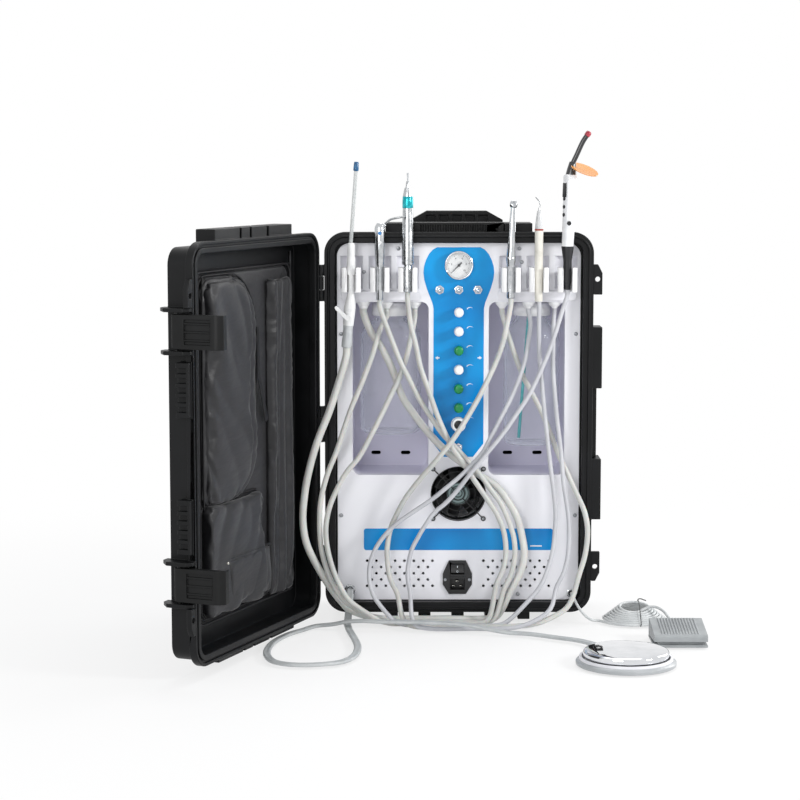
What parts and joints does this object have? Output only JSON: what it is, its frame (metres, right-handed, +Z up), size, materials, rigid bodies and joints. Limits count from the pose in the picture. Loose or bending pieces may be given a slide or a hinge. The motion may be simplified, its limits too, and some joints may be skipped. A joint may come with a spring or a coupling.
{
  "type": "portable dental unit",
  "caption": "Upright wheeled hard case with its lid open, holding a dental control panel with handpieces on hoses, bottles, a fan, a storage organiser and two foot pedals.",
  "frame": {"origin": "on the floor under the middle of the base", "axes": "+X to the right seen from the front, +Y away from the front panel, +Z up"},
  "size_m": [0.8264, 0.6227, 0.8033],
  "materials": {
    "case_black": "fine moulded texture",
    "trim_black": "satin",
    "rubber_black": "matte",
    "steel": "satin",
    "chrome": "polished",
    "tube_aluminium": "anodised",
    "panel_white": "smooth formed ABS",
    "white_plastic": "gloss",
    "green_plastic": "gloss",
    "screw_dark": "zinc",
    "fan_black": "matte",
    "inlet_black": "semi-gloss",
    "bottle_clear": "clear",
    "pump_grey": "satin",
    "fitting_metal": "polished",
    "handpiece_steel": "fine satin",
    "light_white": "gloss",
    "pedal_grey": "matte",
    "pedal_white": "gloss",
    "pouch_black": "padded nylon",
    "hose_grey": "smooth silicone",
    "cable_grey": "smooth",
    "needle_black": "matte"
  },
  "bodies": {
    "base": {"base_shell": "case_black", "case_pins": "steel", "front_panel": "panel_white", "instrument_clips": "white_plastic", "panel_screws": "screw_dark", "panel_fittings": "fitting_metal", "gauge_case": "chrome", "fan_frame": "fan_black", "fan_guard": "fan_black", "mains_inlet": "inlet_black", "compressor": "pump_grey", "suction_handle": "light_white", "syringe_body": "handpiece_steel", "slow_handpiece": "handpiece_steel", "turbine_handpiece": "handpiece_steel", "scaler_handpiece": "light_white", "curing_light": "light_white", "round_pedal_base": "pedal_white", "box_pedal_base": "pedal_grey", "suction_hose": "hose_grey", "syringe_hose": "hose_grey", "motor_hose": "hose_grey", "turbine_hose": "hose_grey", "scaler_hose": "hose_grey", "light_cable": "cable_grey", "round_pedal_hose": "hose_grey", "box_pedal_cable": "cable_grey", "cable_hank": "cable_grey"},
    "lid": {"lid_shell": "case_black", "lid_gasket": "rubber_black", "lid_pouch": "pouch_black"},
    "latch_upper": {"latch_upper": "trim_black"},
    "latch_lower": {"latch_lower": "trim_black"},
    "top_handle": {"top_handle": "trim_black"},
    "side_handle": {"side_handle": "trim_black"},
    "trolley_handle": {"trolley_handle": "trim_black"},
    "wheel_left": {"wheel_left": "rubber_black"},
    "wheel_right": {"wheel_right": "rubber_black"},
    "gauge_needle": {"gauge_needle": "needle_black"},
    "toggle_1": {"toggle_1": "chrome"},
    "toggle_2": {"toggle_2": "chrome"},
    "toggle_3": {"toggle_3": "chrome"},
    "flow_knob_1": {"flow_knob_1": "white_plastic"},
    "flow_knob_2": {"flow_knob_2": "white_plastic"},
    "flow_knob_3": {"flow_knob_3": "green_plastic"},
    "flow_knob_4": {"flow_knob_4": "white_plastic"},
    "flow_knob_5": {"flow_knob_5": "green_plastic"},
    "flow_knob_6": {"flow_knob_6": "green_plastic"},
    "regulator_knob": {"regulator_knob": "white_plastic"},
    "fan_rotor": {"fan_rotor": "fan_black"},
    "rocker_switch": {"rocker_switch": "inlet_black"},
    "waste_bottle": {"waste_bottle": "bottle_clear"},
    "water_bottle": {"water_bottle": "bottle_clear"},
    "suction_lever": {"suction_lever": "white_plastic"},
    "syringe_button_air": {"syringe_button_air": "white_plastic"},
    "syringe_button_water": {"syringe_button_water": "white_plastic"},
    "slow_bur": {"slow_bur": "steel"},
    "curing_button": {"curing_button": "trim_black"},
    "round_pedal_disc": {"round_pedal_disc": "chrome"},
    "box_pedal_top": {"box_pedal_top": "pedal_grey"}
  },
  "joints": [
    {"name": "lid_hinge", "type": "hinge", "parent": "base", "child": "lid", "pos_m": [-0.223, -0.095, 0.328], "axis": [0, 0, 1], "range_deg": [-7.4, 22.6]},
    {"name": "latch_upper_pivot", "type": "hinge", "parent": "lid", "child": "latch_upper", "pos_m": [-0.41601, -0.49884, 0.5125], "axis": [0, 0, -1], "range_deg": [0, 100]},
    {"name": "latch_lower_pivot", "type": "hinge", "parent": "lid", "child": "latch_lower", "pos_m": [-0.41601, -0.49884, 0.1435], "axis": [0, 0, -1], "range_deg": [0, 100]},
    {"name": "top_handle_pivot", "type": "hinge", "parent": "base", "child": "top_handle", "pos_m": [0, -0.028, 0.643], "axis": [-1, 0, 0], "range_deg": [0, 90]},
    {"name": "side_handle_pivot", "type": "hinge", "parent": "base", "child": "side_handle", "pos_m": [0.219, -0.05, 0.328], "axis": [0, 0, 1], "range_deg": [0, 90]},
    {"name": "trolley_slide", "type": "slide", "parent": "base", "child": "trolley_handle", "axis": [0, 0, 1], "range_m": [0, 0.38]},
    {"name": "wheel_left_spin", "type": "hinge", "parent": "base", "child": "wheel_left", "pos_m": [-0.175, 0.068, 0.0275], "axis": [1, 0, 0], "continuous": true},
    {"name": "wheel_right_spin", "type": "hinge", "parent": "base", "child": "wheel_right", "pos_m": [0.175, 0.068, 0.0275], "axis": [1, 0, 0], "continuous": true},
    {"name": "gauge_needle_turn", "type": "hinge", "parent": "base", "child": "gauge_needle", "pos_m": [0, -0.087, 0.586], "axis": [0, 1, 0], "range_deg": [0, 270], "stiffness_Nm_per_rad": 0.0005},
    {"name": "toggle_1_tilt", "type": "hinge", "parent": "base", "child": "toggle_1", "pos_m": [-0.031, -0.084, 0.546], "axis": [1, 0, 0], "range_deg": [-12, 12]},
    {"name": "toggle_2_tilt", "type": "hinge", "parent": "base", "child": "toggle_2", "pos_m": [0, -0.084, 0.546], "axis": [1, 0, 0], "range_deg": [-12, 12]},
    {"name": "toggle_3_tilt", "type": "hinge", "parent": "base", "child": "toggle_3", "pos_m": [0.031, -0.084, 0.546], "axis": [1, 0, 0], "range_deg": [-12, 12]},
    {"name": "flow_knob_1_turn", "type": "hinge", "parent": "base", "child": "flow_knob_1", "pos_m": [0, -0.09, 0.51], "axis": [0, 1, 0], "range_deg": [-150, 150]},
    {"name": "flow_knob_2_turn", "type": "hinge", "parent": "base", "child": "flow_knob_2", "pos_m": [0, -0.09, 0.4788], "axis": [0, 1, 0], "range_deg": [-150, 150]},
    {"name": "flow_knob_3_turn", "type": "hinge", "parent": "base", "child": "flow_knob_3", "pos_m": [0, -0.09, 0.4476], "axis": [0, 1, 0], "range_deg": [-150, 150]},
    {"name": "flow_knob_4_turn", "type": "hinge", "parent": "base", "child": "flow_knob_4", "pos_m": [0, -0.09, 0.4164], "axis": [0, 1, 0], "range_deg": [-150, 150]},
    {"name": "flow_knob_5_turn", "type": "hinge", "parent": "base", "child": "flow_knob_5", "pos_m": [0, -0.09, 0.3852], "axis": [0, 1, 0], "range_deg": [-150, 150]},
    {"name": "flow_knob_6_turn", "type": "hinge", "parent": "base", "child": "flow_knob_6", "pos_m": [0, -0.09, 0.354], "axis": [0, 1, 0], "range_deg": [-150, 150]},
    {"name": "regulator_turn", "type": "hinge", "parent": "base", "child": "regulator_knob", "pos_m": [0, -0.09, 0.326], "axis": [0, 1, 0], "range_deg": [-150, 150]},
    {"name": "fan_spin", "type": "hinge", "parent": "base", "child": "fan_rotor", "pos_m": [0, -0.066, 0.211], "axis": [0, 1, 0], "continuous": true},
    {"name": "rocker_tilt", "type": "hinge", "parent": "base", "child": "rocker_switch", "pos_m": [-0.001, -0.08, 0.086], "axis": [1, 0, 0], "range_deg": [0, 20]},
    {"name": "waste_bottle_unscrew", "type": "hinge", "parent": "base", "child": "waste_bottle", "pos_m": [-0.111, -0.027, 0.328], "axis": [0, 0, -1], "range_deg": [0, 360]},
    {"name": "water_bottle_unscrew", "type": "hinge", "parent": "base", "child": "water_bottle", "pos_m": [0.122, -0.027, 0.328], "axis": [0, 0, -1], "range_deg": [0, 360]},
    {"name": "suction_lever_turn", "type": "hinge", "parent": "base", "child": "suction_lever", "pos_m": [-0.179, -0.119, 0.503], "axis": [0, -1, 0], "range_deg": [0, 60]},
    {"name": "syringe_air_press", "type": "slide", "parent": "base", "child": "syringe_button_air", "axis": [0, 1, 0], "range_m": [0, 0.002], "stiffness_N_per_m": 600, "springref_m": -0.001},
    {"name": "syringe_water_press", "type": "slide", "parent": "base", "child": "syringe_button_water", "axis": [0, 1, 0], "range_m": [0, 0.002], "stiffness_N_per_m": 600, "springref_m": -0.001},
    {"name": "slow_bur_spin", "type": "hinge", "parent": "base", "child": "slow_bur", "pos_m": [-0.083, -0.108, 0.72], "axis": [0, 0, 1], "continuous": true},
    {"name": "curing_button_press", "type": "slide", "parent": "base", "child": "curing_button", "axis": [0, 1, 0], "range_m": [0, 0.0012], "stiffness_N_per_m": 600, "springref_m": -0.001},
    {"name": "round_pedal_press", "type": "slide", "parent": "base", "child": "round_pedal_disc", "axis": [0, 0, -1], "range_m": [0, 0.008], "stiffness_N_per_m": 2500, "springref_m": -0.006},
    {"name": "box_pedal_press", "type": "hinge", "parent": "base", "child": "box_pedal_top", "pos_m": [0.343, -0.215, 0.009], "axis": [1, 0, 0], "range_deg": [0, 2.5], "stiffness_Nm_per_rad": 2, "springref_deg": -14.32}
  ]
}
